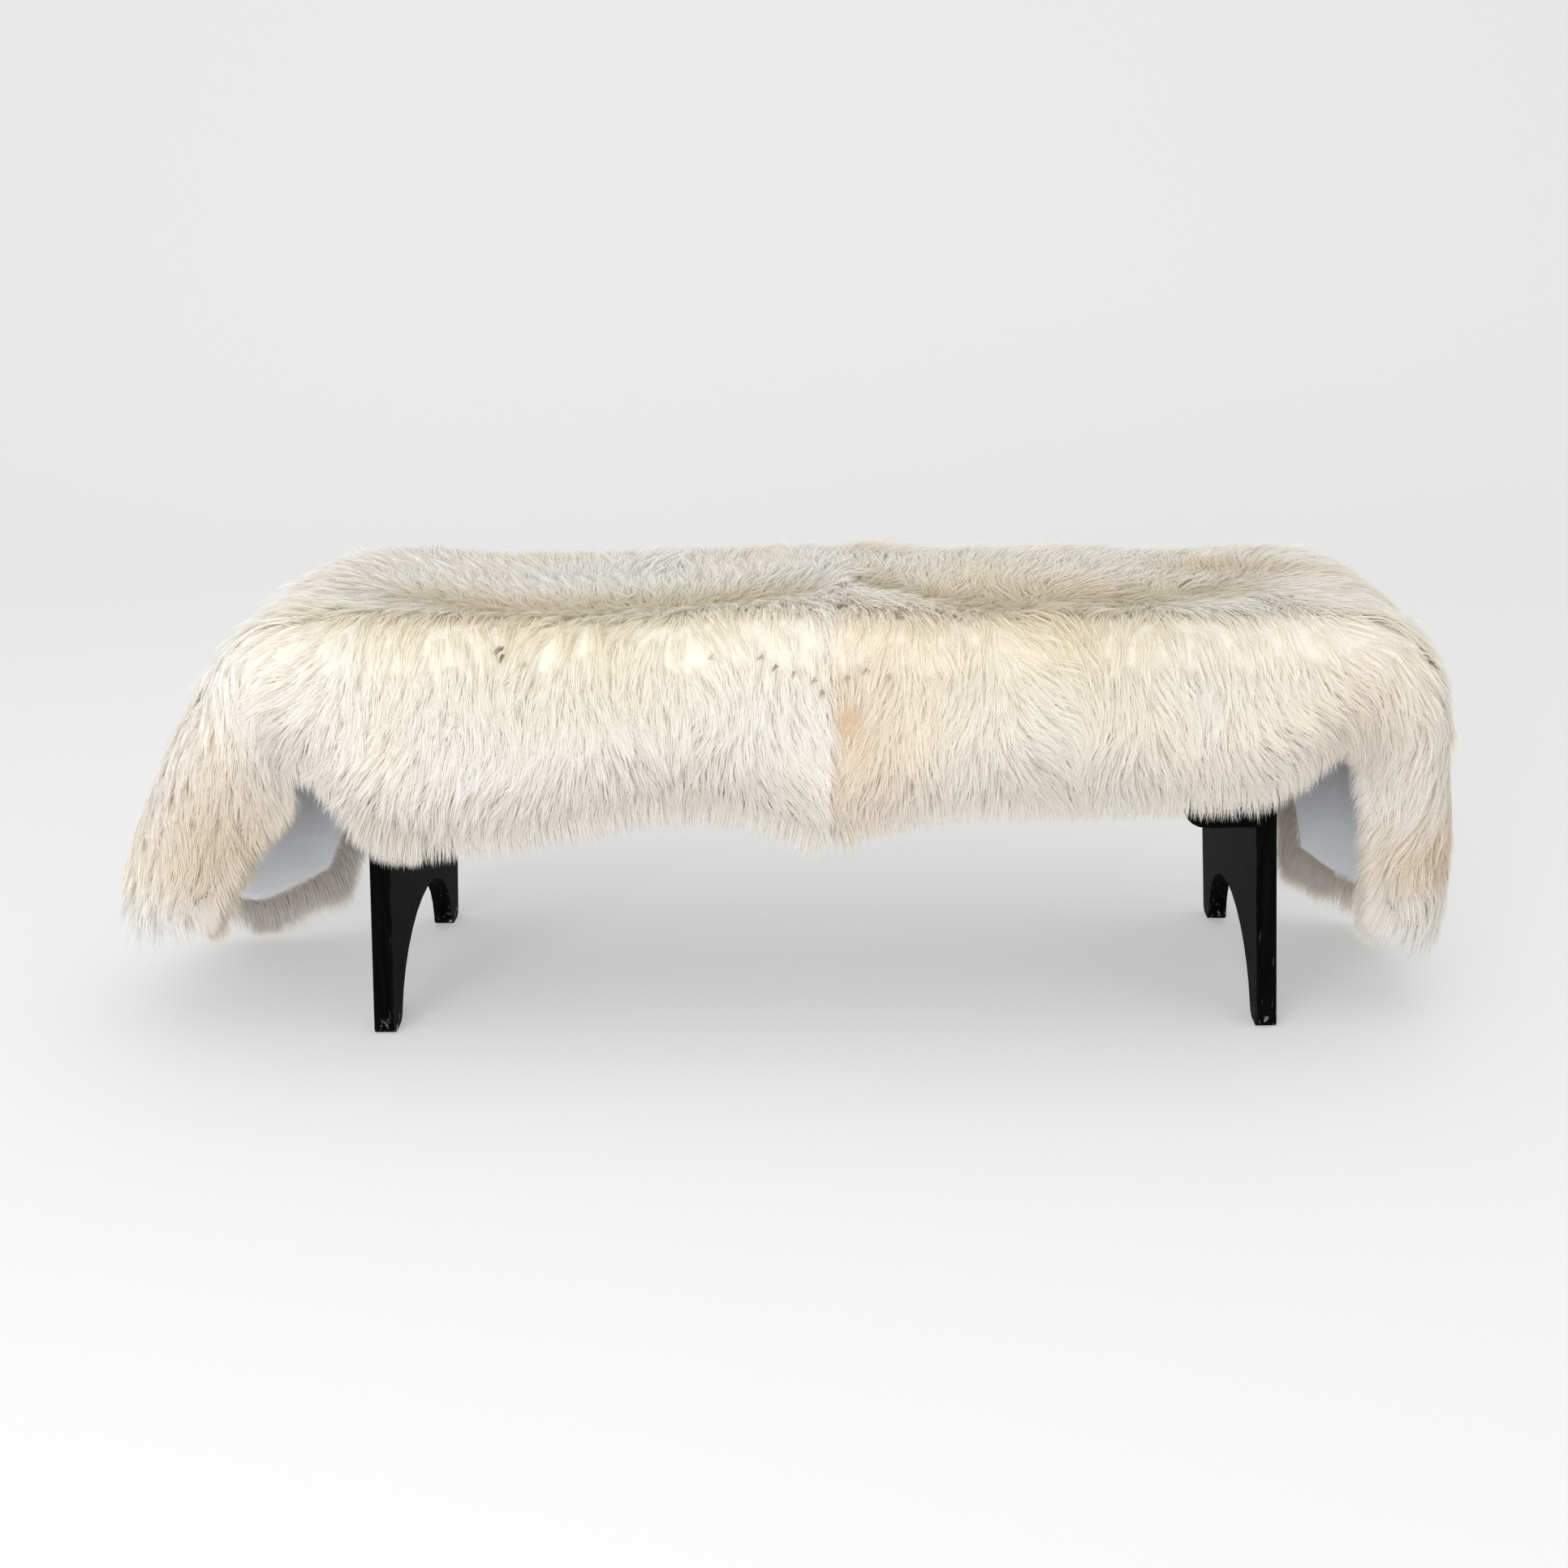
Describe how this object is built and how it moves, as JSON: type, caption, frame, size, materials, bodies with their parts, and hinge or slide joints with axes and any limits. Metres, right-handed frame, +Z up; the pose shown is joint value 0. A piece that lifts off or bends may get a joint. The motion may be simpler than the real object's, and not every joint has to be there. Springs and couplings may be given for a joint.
{
  "type": "double sheepskin on a bench",
  "caption": "Long-haired double sheepskin, two pelts sewn end to end, draped over a black painted slab-leg bench with its ends hanging past the seat.",
  "frame": {"origin": "on the floor, under the middle of the whole thing's box", "axes": "+X along the bench towards the right pelt's flap, +Y to the back, +Z up"},
  "size_m": [1.5389, 0.4477, 0.5124],
  "materials": {
    "wool_left": "soft ivory wool, short and dense",
    "wool_right": "soft cream wool, longer and wavy",
    "lock_left": "loose wool locks, tan at the root",
    "lock_right": "loose wool locks, tan at the root",
    "suede": "matt grey-white suede",
    "black_paint": "satin black paint, worn at the feet"
  },
  "bodies": {
    "root": {"pelt_left": "wool_left", "pelt_right": "wool_right", "fringe_left_front": "lock_left", "fringe_left_end": "lock_left", "fringe_left_back": "lock_left", "fringe_right_front": "lock_right", "fringe_right_end": "lock_right", "fringe_right_back": "lock_right", "bench_seat": "black_paint", "leg_left": "black_paint", "leg_right": "black_paint", "apron_front": "black_paint", "apron_back": "black_paint"}
  },
  "joints": []
}
